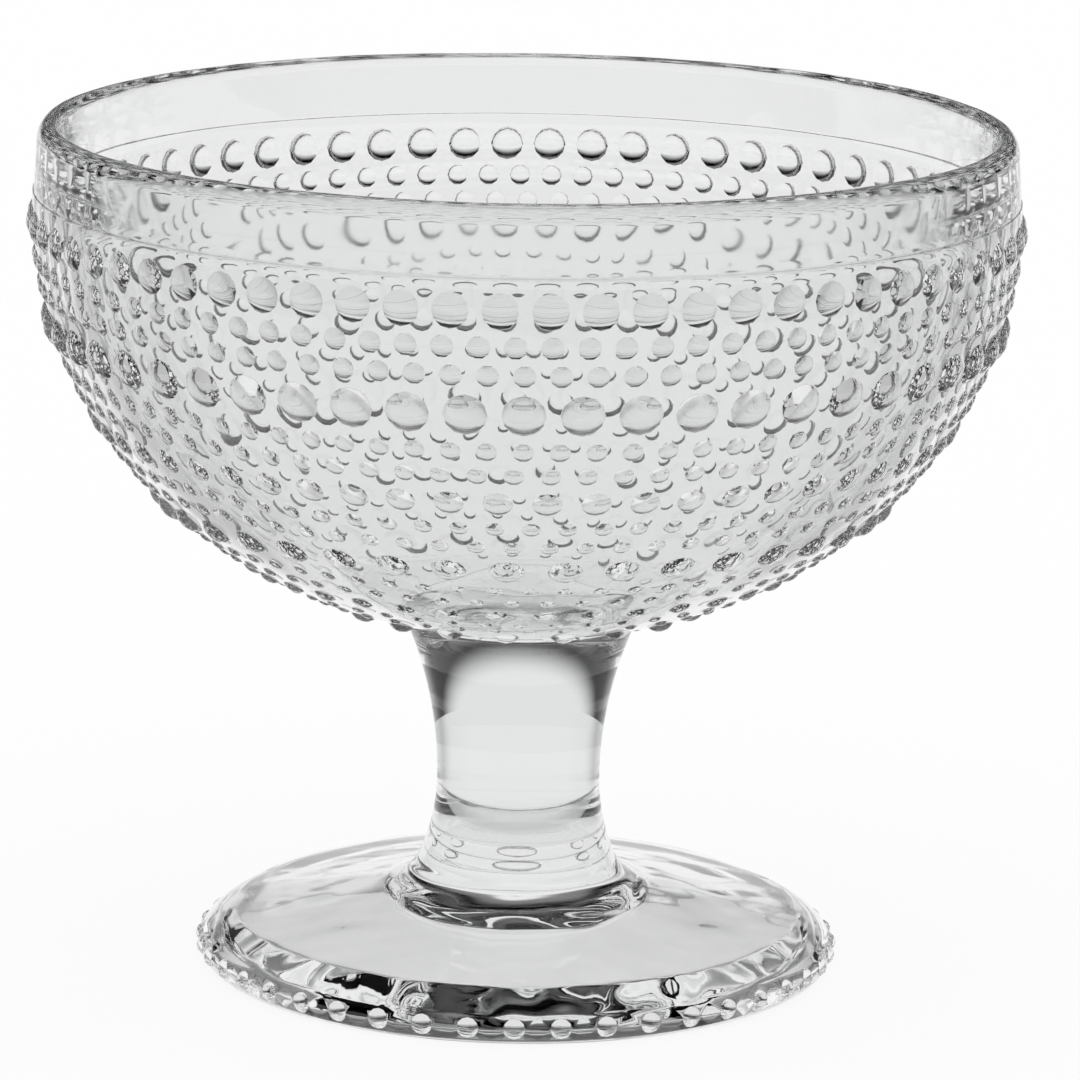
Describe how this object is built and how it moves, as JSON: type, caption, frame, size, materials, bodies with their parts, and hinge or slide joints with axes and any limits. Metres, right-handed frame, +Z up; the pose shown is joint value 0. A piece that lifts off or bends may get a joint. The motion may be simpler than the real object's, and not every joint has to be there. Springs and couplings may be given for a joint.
{
  "type": "dessert glass",
  "caption": "Footed dessert glass in clear pressed glass: a round bowl with rows of raised beads under a plain rim, a short waisted stem and a round foot with a beaded edge.",
  "frame": {"origin": "on the glass's axis, in the plane that the foot rests on", "axes": "+Z up along the axis of the bowl, stem and foot; -Y towards the front of the picture"},
  "size_m": [0.115, 0.115, 0.0988],
  "materials": {
    "glass": "clear fire-polished pressed glass"
  },
  "bodies": {
    "root": {"bowl": "glass", "stem": "glass", "foot": "glass"}
  },
  "joints": []
}
